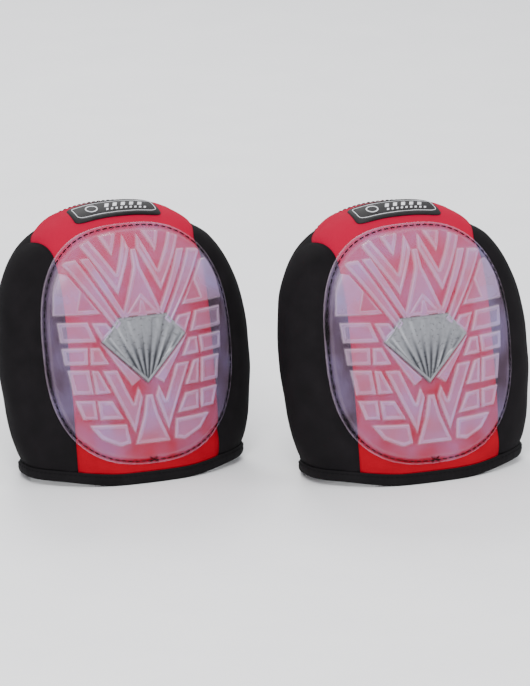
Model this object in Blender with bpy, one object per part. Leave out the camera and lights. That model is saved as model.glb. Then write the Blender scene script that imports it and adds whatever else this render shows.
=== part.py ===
"""A pair of gel-capped knee pads, each an assembly of separate sewn and moulded pieces.

Units are metres, +Z up. Each pad is made in its own frame: X across the knee, -Y to the front,
Z up from the hem that it stands on. The two pads then hang on empties side by side, and the
straps hang on empties that sit on their hinge axes.
"""
import math

import bmesh
import bpy
import numpy as np
from mathutils import Vector

MM = 0.001

# ---- driving dimensions of one pad ----
PAD_HEIGHT = 212 * MM
SHOULDER_Z = 92 * MM             # the sides are upright below this height and arch over above it
HALF_WIDTH = 106 * MM
HEM_WIDTH_RATIO = 0.865          # the hem's width over the widest width
SIDE_POWER = 2.25                # superellipse powers of the arch, across and up
TOP_POWER = 2.6
FRONT_POWER = 2.3                # how square the front's cross-section is
REAR_POWER = 2.2
REAR_DEPTH = 62 * MM             # how fast the sides tuck in behind the widest line
RIM_REACH = 34 * MM              # from the widest line back to the rear rim
BULGE_HEM = 48 * MM              # front bulge ahead of the widest line, at three heights
BULGE_MID = 44 * MM
BULGE_TOP = 58 * MM
LEAN_HEM = 35 * MM               # depth of the widest line at the hem, and how far it leans back
LEAN_RISE = 48 * MM
LEAN_POWER = 1.4
CORNER_RISE = 5.5 * MM           # the hem lifts this much at its side corners
TOP_HALF_WIDTH = 52 * MM         # half width of the rear rim's top edge
SEAM_X = 63 * MM                 # seam between centre panel and side panels
SEAM_FLARE = 10 * MM             # how far the seams spread over the top, and the depths
FLARE_DEPTHS = (38 * MM, 74 * MM)  # of a row's middle between which they do

# ---- layers, measured inward from the fabric's outer face ----
GAP = 0.3 * MM
FABRIC = 1.6 * MM
SHELL = 14.0 * MM                # fabric, foam and gel together
RIM_SHELL = 4.8 * MM             # the same, pressed thin at the bound edges
LINING = 1.2 * MM
GEL = 4.0 * MM
GEL_EDGE = 1.0 * MM

# ---- bound edges ----
HEM_HEIGHT = 9.0 * MM
BEAD_WIDTH = 4.5 * MM
BEAD_PROUD = 0.8 * MM

# ---- cap, emblem and label ----
CAP_HALF = (83 * MM, 93.5 * MM)
CAP_CENTRE_Z = 109.5 * MM
CAP_POWER = 2.6
CAP_THICK = 3.6 * MM
EMBLEM_OUTLINE = ((-37 * MM, 116 * MM), (0, 80 * MM), (37 * MM, 116 * MM), (21 * MM, 134 * MM),
                  (-21 * MM, 134 * MM))
EMBLEM_THICK = 1.2 * MM
LABEL_SIZE = (76 * MM, 25 * MM)
LABEL_Y = 72 * MM
LABEL_THICK = 1.6 * MM

# ---- straps ----
STRAP_HEIGHTS = {"lower": 46 * MM, "upper": 122 * MM}
STRAP_WIDTH = 34 * MM
STRAP_BEHIND = 15 * MM           # strap plane behind the rim
RING_INBOARD = 13 * MM           # ring's sewn bar inside the rim's width
BAR_RADIUS = 1.6 * MM
LOOP_RADIUS = 3.5 * MM
LOOP_BORE = 1.95 * MM
LOOP_SIDES = 12
STRAP_HALF = LOOP_RADIUS * math.sin(math.pi / LOOP_SIDES)   # half the band's thickness
RING_SIZE = (14 * MM, 39 * MM)   # between bar centres, across and up
TAB_WIDTH = 26 * MM
TAB_THICK = 1.4 * MM
ADJUSTER = (22 * MM, 42 * MM)
HOOK_LENGTH = 30 * MM
HOOK_THICK = 1.4 * MM
STRAP_END = 10 * MM              # the free end stops this far short of the far rim

# ---- the pair ----
PAD_SPACING = (208.6 * MM, -92.9 * MM)
DEPTH_MIDDLE = 48.5 * MM           # middle of a pad's depth, so that the pair is centred

COLUMN_CELLS_SIDE = (0.0, 0.30, 0.56, 0.80, 1.0)
COLUMN_CELLS_CENTRE = 6
ROW_HEIGHTS = (9.4 * MM, 17 * MM, 31 * MM)
FAN_AXIS = (150 * MM, 48 * MM)   # rows above this height fan out from this line
GEL_ROWS = (3, 9)                # grid rows and columns that the gel pad covers
GEL_COLS = (4, 10)
FAN_ROWS = (0.0, 0.13, 0.26, 0.39, 0.52, 0.65, 0.77, 0.87, 0.95, 1.0)

COLOURS = {
    "crimson_fabric": ((0.55, 0.03, 0.06, 1), 0.75, 0.0),
    "black_fabric": ((0.012, 0.011, 0.012, 1), 0.8, 0.0),
    "foam": ((0.05, 0.05, 0.055, 1), 0.9, 0.0),
    "lining": ((0.03, 0.03, 0.034, 1), 0.85, 0.0),
    "gel": ((0.45, 0.55, 0.7, 1), 0.3, 0.0),
    "cap_gel": ((0.55, 0.3, 0.42, 1), 0.3, 0.0),
    "emblem": ((0.25, 0.26, 0.28, 1), 0.35, 0.0),
    "label_rubber": ((0.02, 0.02, 0.022, 1), 0.6, 0.0),
    "binding": ((0.012, 0.012, 0.013, 1), 0.8, 0.0),
    "webbing": ((0.015, 0.015, 0.016, 1), 0.8, 0.0),
    "hook_tape": ((0.03, 0.03, 0.032, 1), 0.7, 0.0),
    "plastic": ((0.02, 0.02, 0.022, 1), 0.4, 0.0),
}


# ------------------------------------------------------------------ scene helpers
def clear_scene():
    for obj in list(bpy.data.objects):
        bpy.data.objects.remove(obj)


def material(name):
    mat = bpy.data.materials.get(name)
    if mat:
        return mat
    colour, roughness, metallic = COLOURS[name]
    mat = bpy.data.materials.new(name)
    mat.use_nodes = True
    shader = mat.node_tree.nodes["Principled BSDF"]
    shader.inputs["Base Color"].default_value = colour
    shader.inputs["Roughness"].default_value = roughness
    shader.inputs["Metallic"].default_value = metallic
    mat.diffuse_color = colour
    return mat


def empty(name, location, parent=None):
    obj = bpy.data.objects.new(name, None)
    bpy.context.collection.objects.link(obj)
    obj.parent = parent
    obj.location = location
    return obj


def solid(name, verts, faces, slot, parent, origin=(0, 0, 0)):
    """Makes an object from pad-frame points; origin is its parent's place in the pad frame."""
    mesh = bpy.data.meshes.new(name)
    shift = Vector(origin)
    mesh.from_pydata([Vector(v) - shift for v in verts], [], faces)
    bm = bmesh.new()
    bm.from_mesh(mesh)
    bmesh.ops.recalc_face_normals(bm, faces=bm.faces)
    bm.to_mesh(mesh)
    bm.free()
    mesh.shade_smooth()
    mesh.set_sharp_from_angle(angle=math.radians(35))
    obj = bpy.data.objects.new(name, mesh)
    bpy.context.collection.objects.link(obj)
    obj.parent = parent
    mesh.materials.append(material(slot))
    return obj


# ------------------------------------------------------------------ the shell's form
def widest_y(z):
    """Depth of the widest line, which leans back towards the top."""
    return LEAN_HEM + LEAN_RISE * np.clip(z / PAD_HEIGHT, 0, 1) ** LEAN_POWER


def half_width(z):
    drop = np.clip((SHOULDER_Z - z) / SHOULDER_Z, 0, 1)
    return HALF_WIDTH * (1 - (1 - HEM_WIDTH_RATIO) * drop ** 1.8)


def bulge(z):
    """Depth of the front bulge: a parabola through its three stated values."""
    w = np.clip(z / PAD_HEIGHT, 0, 1)
    return BULGE_HEM * (1 - w) * (1 - 2 * w) + BULGE_MID * 4 * w * (1 - w) + BULGE_TOP * w * (2 * w - 1)


def level(p):
    """Zero on the shell's outer face, negative inside it."""
    x, y, z = p[..., 0], p[..., 1], p[..., 2]
    up = np.clip((z - SHOULDER_Z) / (PAD_HEIGHT - SHOULDER_Z), 0, None)
    arch = (np.abs(x) / half_width(z)) ** SIDE_POWER + up ** TOP_POWER
    depth = y - widest_y(z)
    front = (np.clip(-depth, 0, None) / bulge(z)) ** FRONT_POWER
    rear = (np.clip(depth, 0, RIM_REACH + 3 * MM) / REAR_DEPTH) ** REAR_POWER
    return arch + front + rear - 1


def normal(p):
    step = 0.02 * MM
    grad = np.stack([level(p + step * axis) - level(p - step * axis) for axis in np.eye(3)], -1)
    return grad / np.linalg.norm(grad, axis=-1, keepdims=True)


def cast(start, direction):
    """Where rays from inside the shell meet its outer face, by halving the step."""
    low = np.zeros(direction.shape[:-1])
    high = np.full(direction.shape[:-1], 0.3)
    for _ in range(40):
        mid = (low + high) / 2
        inside = level(start + mid[..., None] * direction) < 0
        low = np.where(inside, mid, low)
        high = np.where(inside, high, mid)
    return start + low[..., None] * direction


def row_curve(start_y, start_z, tilt, samples=2001):
    """The outer face's curve in one row plane, from rim to rim, as points."""
    turn = np.linspace(-1.3, 1.3, samples)
    ahead = np.array([0, -math.cos(tilt), math.sin(tilt)])
    across = np.array([1.0, 0, 0])
    rays = np.sin(turn)[:, None] * across + np.cos(turn)[:, None] * ahead
    points = cast(np.array([0, start_y, start_z]), rays)
    reach = widest_y(points[:, 2]) + RIM_REACH - points[:, 1]
    keep = np.where(reach >= 0)[0]
    return points[keep[0]:keep[-1] + 1] if len(keep) else points[:0]


def lifted_row(z):
    """A level row near the hem, raised at the side corners and level again at the rear rim."""
    curve = row_curve(FAN_AXIS[0], z, 0.0)
    rise = CORNER_RISE * corner_lift(curve) * (1 - min(z / (60 * MM), 1))
    lifted = curve.copy()
    lifted[:, 2] += rise
    for _ in range(3):
        # slide the lifted points back onto the outer face, level by level
        inner = np.stack([np.zeros(len(lifted)), np.full(len(lifted), 0.06), lifted[:, 2]], -1)
        ray = lifted - inner
        ray /= np.linalg.norm(ray, axis=1, keepdims=True)
        lifted = cast(inner, ray)
    return lifted


def corner_lift(curve):
    out = np.clip((np.abs(curve[:, 0]) - 25 * MM) / (60 * MM), 0, 1)
    out = out * out * (3 - 2 * out)
    behind = np.clip((curve[:, 1] - widest_y(curve[:, 2])) / RIM_REACH, 0, 1)
    return out * (1 - behind ** 1.5)


def pick_columns(curve):
    """Points of one row at the shared columns: rim, side cells, seam, centre cells, mirrored."""
    arc = np.concatenate([[0], np.cumsum(np.linalg.norm(np.diff(curve, axis=0), axis=1))])
    total = arc[-1]
    middle = curve[len(curve) // 2, 1]
    share = np.clip((middle - FLARE_DEPTHS[0]) / (FLARE_DEPTHS[1] - FLARE_DEPTHS[0]), 0, 1)
    seam = min(SEAM_X + SEAM_FLARE * share * share * (3 - 2 * share), 0.86 * abs(curve[-1, 0]))
    seam_arc = np.interp(seam, curve[len(curve) // 2:, 0], arc[len(curve) // 2:])
    side = [total - (total - seam_arc) * (1 - f) for f in COLUMN_CELLS_SIDE]
    half = total / 2
    centre = [half + (seam_arc - half) * k / (COLUMN_CELLS_CENTRE // 2)
              for k in range(COLUMN_CELLS_CENTRE // 2)]
    right = centre + side
    places = [total - s for s in right[:0:-1]] + right
    return np.stack([np.interp(places, arc, curve[:, k]) for k in range(3)], -1)


def top_tilt():
    """The fan angle of the last row, whose ends meet the rear rim's shoulders."""
    low, high = math.radians(50), math.radians(95)
    for _ in range(24):
        mid = (low + high) / 2
        curve = row_curve(FAN_AXIS[0], FAN_AXIS[1], mid)
        if len(curve) and curve[-1, 0] > TOP_HALF_WIDTH:
            low = mid
        else:
            high = mid
    return low


def shell_grid():
    """Rows of outer-face points from the hem over the top, with matching normals."""
    rows = [pick_columns(lifted_row(z)) for z in ROW_HEIGHTS]
    last = top_tilt()
    rows += [pick_columns(row_curve(FAN_AXIS[0], FAN_AXIS[1], last * f)) for f in FAN_ROWS]
    points = np.array(rows)
    return points, normal(points)


# ------------------------------------------------------------------ grid solids
def block(outer, inner):
    """A closed solid between two matching grids of points."""
    rows, cols = outer.shape[:2]
    verts = [tuple(p) for p in outer.reshape(-1, 3)] + [tuple(p) for p in inner.reshape(-1, 3)]
    count = rows * cols
    faces = []
    for r in range(rows - 1):
        for c in range(cols - 1):
            a = r * cols + c
            # one diagonal throughout, so that neighbouring layers stay parallel
            for tri in ((a, a + 1, a + cols + 1), (a, a + cols + 1, a + cols)):
                faces.append(tri)
                faces.append(tuple(count + v for v in reversed(tri)))
    edge = [c for c in range(cols)]
    edge += [r * cols + cols - 1 for r in range(1, rows)]
    edge += [(rows - 1) * cols + c for c in range(cols - 2, -1, -1)]
    edge += [r * cols for r in range(rows - 2, 0, -1)]
    for a, b in zip(edge, edge[1:] + edge[:1]):
        faces.append((a, b, count + b, count + a))
    return verts, faces


def shell_depths(rows, cols):
    """How far in the foam's inner face and the gel's outer face lie at each grid point."""
    side = np.ones((rows, cols))
    side[:, (0, -1)] = 0.0
    side[:, (1, -2)] = 0.75
    side[0] = 0.0
    side[1] = np.minimum(side[1], 0.75)
    side[-1] = 0.0
    side[-2] = np.minimum(side[-2], 0.75)
    back = RIM_SHELL + (SHELL - RIM_SHELL) * side
    gel = np.zeros((rows, cols))
    gel[GEL_ROWS[0]:GEL_ROWS[1] + 1, GEL_COLS[0]:GEL_COLS[1] + 1] = GEL_EDGE
    gel[GEL_ROWS[0] + 1:GEL_ROWS[1], GEL_COLS[0] + 1:GEL_COLS[1]] = GEL
    return back, gel


def layer(points, normals, outer_depth, inner_depth):
    outer = points - normals * np.asarray(outer_depth)[..., None]
    inner = points - normals * np.asarray(inner_depth)[..., None]
    return block(outer, inner)


def panel_columns(points, normals, first, last, trim_first, trim_last):
    """The grid columns of one panel, with its seam edges moved in by the trims."""
    part = points[:, first:last + 1].copy()
    norm = normals[:, first:last + 1].copy()
    for edge, inner, trim in ((0, 1, trim_first), (-1, -2, trim_last)):
        run = part[:, inner] - part[:, edge]
        part[:, edge] += run / np.linalg.norm(run, axis=1, keepdims=True) * trim
    return part, norm


def prism(outline, axis, low, high):
    """A closed bar with the outline's shape, along Y or Z."""
    count = len(outline)
    verts = []
    for level_at in (low, high):
        for a, b in outline:
            verts.append((a, level_at, b) if axis == "Y" else (a, b, level_at))
    faces = [tuple(range(count)), tuple(range(2 * count - 1, count - 1, -1))]
    faces += [(k, (k + 1) % count, count + (k + 1) % count, count + k) for k in range(count)]
    return verts, faces


def trim_to(obj, outline, axis, low, high, parent):
    """Keeps only what lies inside a prism of the given outline."""
    cutter = solid(obj.name + "_cutter", *prism(outline, axis, low, high), "plastic", parent)
    cutter.hide_render = True
    cutter.display_type = "WIRE"
    cut = obj.modifiers.new("outline", "BOOLEAN")
    cut.operation = "INTERSECT"
    cut.solver = "EXACT"
    cut.object = cutter


def superellipse(centre, half, power, count):
    out = []
    for k in range(count):
        turn = 2 * math.pi * (k + 0.5) / count
        c, s = math.cos(turn), math.sin(turn)
        out.append((centre[0] + half[0] * math.copysign(abs(c) ** (2 / power), c),
                    centre[1] + half[1] * math.copysign(abs(s) ** (2 / power), s)))
    return out


# ------------------------------------------------------------------ bound edges
def hem_binding(points, normals):
    """The band along the bottom: flat underneath, slightly proud in front."""
    low = points[0].copy()
    level_n = normals[0] * np.array([1, 1, 0])
    level_n /= np.linalg.norm(level_n, axis=1, keepdims=True)
    rise = CORNER_RISE * corner_lift(low)
    top = low[:, 2] - GAP * 2
    inset = RIM_SHELL + FABRIC + LINING
    back_top = top - np.clip(normals[0][:, 2], 0, 1) * (inset + 0.5 * MM)
    # run the band past the last column to under the rim's binding
    for edge, inner in ((0, 1), (-1, -2)):
        run = low[edge] - low[inner]
        low[edge] += run / np.linalg.norm(run) * (BEAD_WIDTH + GAP)
    rings = []
    for p, n, base, head, rear_head in zip(low, level_n, rise, top, back_top):
        section = [(-0.8 * MM, base), (BEAD_PROUD, base + 2.4 * MM), (BEAD_PROUD, head - 2.2 * MM),
                   (0.0, head), (-inset, rear_head), (-inset, base)]
        rings.append([(p[0] + n[0] * out, p[1] + n[1] * out, z) for out, z in section])
    return sweep(rings, False)


def sweep(rings, closed):
    """A closed solid through a run of matching rings."""
    count = len(rings[0])
    verts = [v for ring in rings for v in ring]
    faces = []
    last = len(rings) if closed else len(rings) - 1
    for r in range(last):
        a, b = r * count, (r + 1) % len(rings) * count
        for k in range(count):
            n = (k + 1) % count
            faces.append((a + k, a + n, b + n, b + k))
    if not closed:
        faces.append(tuple(range(count)))
        faces.append(tuple(range((len(rings) - 1) * count, len(rings) * count))[::-1])
    return verts, faces


def rim_path(points, normals):
    """The shell's rear edge, from the hem up one side, over the top and down the other."""
    path = [(points[r, 0], normals[r, 0], points[r, 1]) for r in range(len(points) - 1)]
    path += [(points[-1, c], normals[-1, c], points[-2, c]) for c in range(points.shape[1])]
    path += [(points[r, -1], normals[r, -1], points[r, -2]) for r in range(len(points) - 2, -1, -1)]
    return path


def rim_binding(points, normals):
    """A bead of bound tape just past the pressed edges of the layers."""
    path = rim_path(points, normals)
    spots = np.array([p for p, _, _ in path])
    rings = []
    for k, (p, n, inner) in enumerate(path):
        ahead = spots[min(k + 1, len(path) - 1)] - spots[max(k - 1, 0)]
        ahead /= np.linalg.norm(ahead)
        out = np.cross(ahead, n)
        out /= np.linalg.norm(out)
        if np.dot(out, p - inner) < 0:
            out = -out
        depth = RIM_SHELL + FABRIC + LINING
        section = [(BEAD_PROUD, GAP), (BEAD_PROUD * 0.6, BEAD_WIDTH * 0.7), (-depth / 2, BEAD_WIDTH),
                   (-depth - 0.2 * MM, BEAD_WIDTH * 0.7), (-depth - 0.6 * MM, GAP)]
        rings.append([tuple(p + n * a + out * b) for a, b in section])
    return sweep(rings, False)


# ------------------------------------------------------------------ strap hardware
def lofted(levels, faces2d):
    """A closed solid through stacked copies of one flat face layout."""
    count = len(levels[0])
    verts = [v for stack in levels for v in stack]
    faces = [tuple(reversed(f)) for f in faces2d]
    top = (len(levels) - 1) * count
    faces += [tuple(top + v for v in f) for f in faces2d]
    uses = {}
    for face in faces2d:
        for a, b in zip(face, face[1:] + face[:1]):
            uses[frozenset((a, b))] = uses.get(frozenset((a, b)), 0) + 1
    for face in faces2d:
        for a, b in zip(face, face[1:] + face[:1]):
            if uses[frozenset((a, b))] == 1:
                for s in range(len(levels) - 1):
                    low, high = s * count, (s + 1) * count
                    faces.append((low + a, low + b, high + b, high + a))
    return verts, faces


def loop_layout(path_cells):
    """Flat faces of a strip with a loop at its start: the loop's quads, then the strip's."""
    faces = []
    for k in range(LOOP_SIDES):
        n = (k + 1) % LOOP_SIDES
        faces.append((k, n, LOOP_SIDES + n, LOOP_SIDES + k))
    base = 2 * LOOP_SIDES
    left, right = 0, LOOP_SIDES - 1
    for cell in range(path_cells):
        a, b = base + 2 * cell, base + 2 * cell + 1
        faces.append((left, right, b, a))
        left, right = a, b
    return faces


def loop_points(centre, heading):
    """Outer then inner loop points about a bar; the strip leaves along the heading."""
    out = []
    for radius in (LOOP_RADIUS, LOOP_BORE):
        for k in range(LOOP_SIDES):
            turn = heading + (k + 0.5) * 2 * math.pi / LOOP_SIDES
            out.append((centre[0] + radius * math.cos(turn), centre[1] + radius * math.sin(turn)))
    return out


def strip_points(path, thick):
    """Left and right points along a flat path of centre points."""
    out = []
    for k, p in enumerate(path):
        a, b = path[max(k - 1, 0)], path[min(k + 1, len(path) - 1)]
        dx, dy = b[0] - a[0], b[1] - a[1]
        size = math.hypot(dx, dy)
        nx, ny = -dy / size * thick / 2, dx / size * thick / 2
        out += [(p[0] + nx, p[1] + ny), (p[0] - nx, p[1] - ny)]
    return out


def box(size, centre):
    (sx, sy, sz), (cx, cy, cz) = size, centre
    verts = [(cx + a * sx / 2, cy + b * sy / 2, cz + c * sz / 2)
             for a in (-1, 1) for b in (-1, 1) for c in (-1, 1)]
    faces = [(0, 1, 3, 2), (4, 6, 7, 5), (0, 4, 5, 1), (2, 3, 7, 6), (0, 2, 6, 4), (1, 5, 7, 3)]
    return verts, faces


def rim_spot(z):
    """The +X side's rear rim at one height."""
    return row_curve(FAN_AXIS[0], z, 0.0)[-1]


def strap_layout(name):
    """Where one strap's pieces lie, on the +X side of the pad."""
    z = STRAP_HEIGHTS[name]
    rim = rim_spot(z)
    inner_bar = rim[0] - RING_INBOARD
    return {"z": z, "rim_x": rim[0], "y": rim[1] + STRAP_BEHIND, "inner_bar": inner_bar,
            "outer_bar": inner_bar - RING_SIZE[0]}


def sewn_start(z):
    """Where a tab leaves the rim's binding at one height, and its next point straight back."""
    rim = rim_spot(z)
    return [(rim[0] - 5.5 * MM, rim[1] + 3.6 * MM), (rim[0] - 6.0 * MM, rim[1] + 5.4 * MM)]


def stacked(z, height, maker, count=3):
    """The same flat layout at several heights."""
    levels = []
    for k in range(count):
        at = z + height * (k / (count - 1) - 0.5)
        levels.append([(x, y, at) for x, y in maker(at)])
    return levels


def ring_tab(place):
    """Webbing from the rim's binding to a loop on the ring's inner bar."""
    bar = (place["inner_bar"], place["y"])
    heading = math.radians(-50)

    def flat(z):
        path = [(bar[0] + 4.4 * MM, bar[1] - 5.0 * MM)] + sewn_start(z)[::-1]
        return loop_points(bar, heading) + strip_points(path, TAB_THICK)

    return lofted(stacked(place["z"], TAB_WIDTH, flat), loop_layout(3))


def loop_tab(place):
    """Webbing from the rim's binding, turned inward to a flat landing that faces the strap."""
    y = place["y"] - STRAP_HALF - 2 * GAP - HOOK_THICK - TAB_THICK / 2
    bend = place["rim_x"] - 11 * MM
    end = place["rim_x"] - 44 * MM

    def flat(z):
        path = sewn_start(z) + [(bend + 3 * MM, y - 1.2 * MM), (bend, y), (end, y)]
        return strip_points(path, TAB_THICK)

    layout = [(2 * k, 2 * k + 1, 2 * k + 3, 2 * k + 2) for k in range(4)]
    return lofted(stacked(place["z"], STRAP_WIDTH - 4 * MM, flat), layout)


def ring(place):
    """A rectangular wire loop with rounded corners, in an upright plane."""
    half_x, half_z = RING_SIZE[0] / 2, RING_SIZE[1] / 2
    centre = (place["inner_bar"] + place["outer_bar"]) / 2
    corner = 2.6 * MM
    rings = []
    for cx, cz, start in ((1, 1, 0), (-1, 1, 90), (-1, -1, 180), (1, -1, 270)):
        for step in (0, 45, 90):
            turn = math.radians(start + step)
            x = cx * (half_x - corner) + corner * math.cos(turn)
            z = cz * (half_z - corner) + corner * math.sin(turn)
            wire = []
            for k in range(6):
                around = math.radians(60 * k + 30)
                out = BAR_RADIUS * math.cos(around)
                wire.append((centre + x + out * math.cos(turn), place["y"] + BAR_RADIUS * math.sin(around),
                             place["z"] + z + out * math.sin(turn)))
            rings.append(wire)
    return sweep(rings, True)


def strap(place):
    """The elastic band, from its loop on the ring across the back to beyond the far landing."""
    bar = (place["outer_bar"], place["y"])
    path = [(bar[0] + sign_x, place["y"]) for sign_x in (-12 * MM, -40 * MM)]
    path.append((-place["rim_x"] + STRAP_END, place["y"]))
    flat = loop_points(bar, math.pi) + strip_points(path, 2 * STRAP_HALF)
    levels = [[(x, y, place["z"] + side * STRAP_WIDTH / 2) for x, y in flat] for side in (-1, 1)]
    return lofted(levels, loop_layout(3))


def hook_patch(place):
    x = -place["rim_x"] + STRAP_END + 2 * MM + HOOK_LENGTH / 2
    y = place["y"] - STRAP_HALF - GAP - HOOK_THICK / 2
    return box((HOOK_LENGTH, HOOK_THICK, STRAP_WIDTH - 4 * MM), (x, y, place["z"]))


def cells(xs, ys, zs, filled):
    """A closed body from the filled cells of a rectangular lattice."""
    verts, index, faces = [], {}, []

    def corner(i, j, k):
        if (i, j, k) not in index:
            index[i, j, k] = len(verts)
            verts.append((xs[i], ys[j], zs[k]))
        return index[i, j, k]

    for i, j, k in sorted(filled):
        for axis in range(3):
            for side in (0, 1):
                step = [0, 0, 0]
                step[axis] = 2 * side - 1
                if (i + step[0], j + step[1], k + step[2]) in filled:
                    continue
                quad = []
                for a, b in ((0, 0), (1, 0), (1, 1), (0, 1)):
                    at = [i, j, k]
                    at[axis] += side
                    at[(axis + 1) % 3] += a
                    at[(axis + 2) % 3] += b
                    quad.append(corner(*at))
                faces.append(tuple(quad if side else quad[::-1]))
    return verts, faces


def adjuster(place):
    """A three-bar slide: the band runs behind the middle bar and in front of the outer two."""
    width, height = ADJUSTER
    x = place["outer_bar"] - 46 * MM
    clear = STRAP_HALF + GAP
    wall = clear + 2.2 * MM
    opening = STRAP_WIDTH / 2 + 0.6 * MM
    xs = [x + at for at in (-width / 2, -width / 2 + 4.4 * MM, -2.5 * MM, 2.5 * MM,
                            width / 2 - 4.4 * MM, width / 2)]
    ys = [place["y"] + at for at in (-wall, -clear, clear, wall)]
    zs = [place["z"] + at for at in (-height / 2, -opening, opening, height / 2)]
    rails = {(i, j, k) for i in range(5) for j in range(3) for k in (0, 2)}
    return cells(xs, ys, zs, rails | {(2, 0, 1), (0, 2, 1), (4, 2, 1)})


# ------------------------------------------------------------------ one pad
def flipped(shape, side):
    """Mirrors a shape made for the +X side when it belongs on the -X side."""
    verts, faces = shape
    return [(side * v[0], v[1], v[2]) for v in verts], faces


def build_pad(prefix, hinge_side, parent):
    points, normals = shell_grid()
    rows, cols = points.shape[:2]
    back, gel = shell_depths(rows, cols)
    gel_slot = np.where(gel > 0, gel + GAP, 0)
    foam_back = back - gel_slot

    def add(name, shape, slot):
        return solid(f"{prefix}_{name}", *shape, slot, parent)

    seam_l, seam_r = len(COLUMN_CELLS_SIDE) - 1, cols - len(COLUMN_CELLS_SIDE)
    half_gap = GAP / 2
    sides = ("outer_side_panel", "inner_side_panel")[::-hinge_side]
    spans = {"centre_panel": (seam_l, seam_r, half_gap, half_gap, "crimson_fabric"),
             sides[0]: (0, seam_l, 0, half_gap, "black_fabric"),
             sides[1]: (seam_r, cols - 1, half_gap, 0, "black_fabric")}
    for name, (first, last, trim_a, trim_b, slot) in spans.items():
        part, norm = panel_columns(points, normals, first, last, trim_a, trim_b)
        add(name, layer(part, norm, np.zeros(part.shape[:2]), np.full(part.shape[:2], FABRIC)), slot)
    add("foam_shell", layer(points, normals, np.full(back.shape, FABRIC + GAP), foam_back), "foam")
    gr, gc = GEL_ROWS, GEL_COLS
    zone = (slice(gr[0], gr[1] + 1), slice(gc[0], gc[1] + 1))
    add("gel_core", layer(points[zone], normals[zone], foam_back[zone] + GAP, back[zone]), "gel")
    add("inner_lining", layer(points, normals, back + GAP, back + GAP + LINING), "lining")

    cap = add("gel_cap", layer(points, normals, np.full(back.shape, -GAP),
                               np.full(back.shape, -GAP - CAP_THICK)), "cap_gel")
    outline = superellipse((0, CAP_CENTRE_Z), CAP_HALF, CAP_POWER, 28)
    trim_to(cap, outline, "Y", -80 * MM, 66 * MM, parent)
    above = GAP * 2 + CAP_THICK
    emblem = add("cap_emblem", layer(points, normals, np.full(back.shape, -above),
                                     np.full(back.shape, -above - EMBLEM_THICK)), "emblem")
    trim_to(emblem, EMBLEM_OUTLINE, "Y", -80 * MM, 60 * MM, parent)
    label = add("top_label", layer(points, normals, np.full(back.shape, -GAP),
                                   np.full(back.shape, -GAP - LABEL_THICK)), "label_rubber")
    patch = superellipse((0, LABEL_Y), (LABEL_SIZE[0] / 2, LABEL_SIZE[1] / 2), 8, 16)
    trim_to(label, patch, "Z", 150 * MM, 260 * MM, parent)

    add("hem_binding", hem_binding(points, normals), "binding")
    add("rim_binding", rim_binding(points, normals), "binding")

    for height in STRAP_HEIGHTS:
        place = strap_layout(height)
        add(f"{height}_ring_tab", flipped(ring_tab(place), hinge_side), "webbing")
        add(f"{height}_strap_ring", flipped(ring(place), hinge_side), "plastic")
        add(f"{height}_loop_tab", flipped(loop_tab(place), -hinge_side), "webbing")
        pivot = (hinge_side * place["outer_bar"], place["y"], place["z"])
        hinge = empty(f"{prefix}_{height}_hinge", pivot, parent)
        for name, shape, slot in ((f"{height}_strap", strap(place), "webbing"),
                                  (f"{height}_hook_patch", hook_patch(place), "hook_tape"),
                                  (f"{height}_adjuster", adjuster(place), "plastic")):
            solid(f"{prefix}_{name}", *flipped(shape, hinge_side), slot, hinge, pivot)


def main():
    clear_scene()
    across, ahead = PAD_SPACING
    for prefix, side in (("left", -1), ("right", 1)):
        stand = empty(f"{prefix}_pad_frame", (side * across / 2, side * ahead / 2 - DEPTH_MIDDLE, 0))
        build_pad(prefix, side, stand)


main()
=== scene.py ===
"""Looks for a pair of gel-capped knee pads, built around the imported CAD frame.

Everything is in metres in the row frame. Each pad's surfaces follow the same form as its CAD
shell, at a finer grid, with seams, stitching, a ribbed clear cap and woven materials.
"""

import math

import bmesh
import bpy
import numpy as np
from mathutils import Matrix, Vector


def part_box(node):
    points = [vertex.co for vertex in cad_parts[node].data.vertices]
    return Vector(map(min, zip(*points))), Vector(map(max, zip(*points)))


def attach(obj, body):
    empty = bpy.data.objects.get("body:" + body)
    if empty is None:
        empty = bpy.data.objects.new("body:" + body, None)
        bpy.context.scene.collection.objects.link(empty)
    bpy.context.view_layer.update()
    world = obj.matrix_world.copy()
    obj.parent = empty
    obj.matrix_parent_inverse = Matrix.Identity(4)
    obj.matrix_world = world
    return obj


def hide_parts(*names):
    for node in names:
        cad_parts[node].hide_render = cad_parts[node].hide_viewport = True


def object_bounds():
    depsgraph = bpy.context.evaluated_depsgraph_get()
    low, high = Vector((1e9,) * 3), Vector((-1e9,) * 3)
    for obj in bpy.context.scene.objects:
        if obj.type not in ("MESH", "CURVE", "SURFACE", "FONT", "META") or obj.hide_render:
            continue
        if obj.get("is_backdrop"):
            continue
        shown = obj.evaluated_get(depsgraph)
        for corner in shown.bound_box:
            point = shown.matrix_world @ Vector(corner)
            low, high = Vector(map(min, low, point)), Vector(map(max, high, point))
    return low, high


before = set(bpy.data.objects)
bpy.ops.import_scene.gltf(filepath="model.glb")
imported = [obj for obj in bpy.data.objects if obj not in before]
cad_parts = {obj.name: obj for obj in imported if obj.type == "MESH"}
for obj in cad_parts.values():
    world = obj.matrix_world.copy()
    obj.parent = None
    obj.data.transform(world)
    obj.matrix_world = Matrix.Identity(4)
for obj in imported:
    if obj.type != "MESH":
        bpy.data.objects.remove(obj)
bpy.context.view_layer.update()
MM = 0.001

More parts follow.
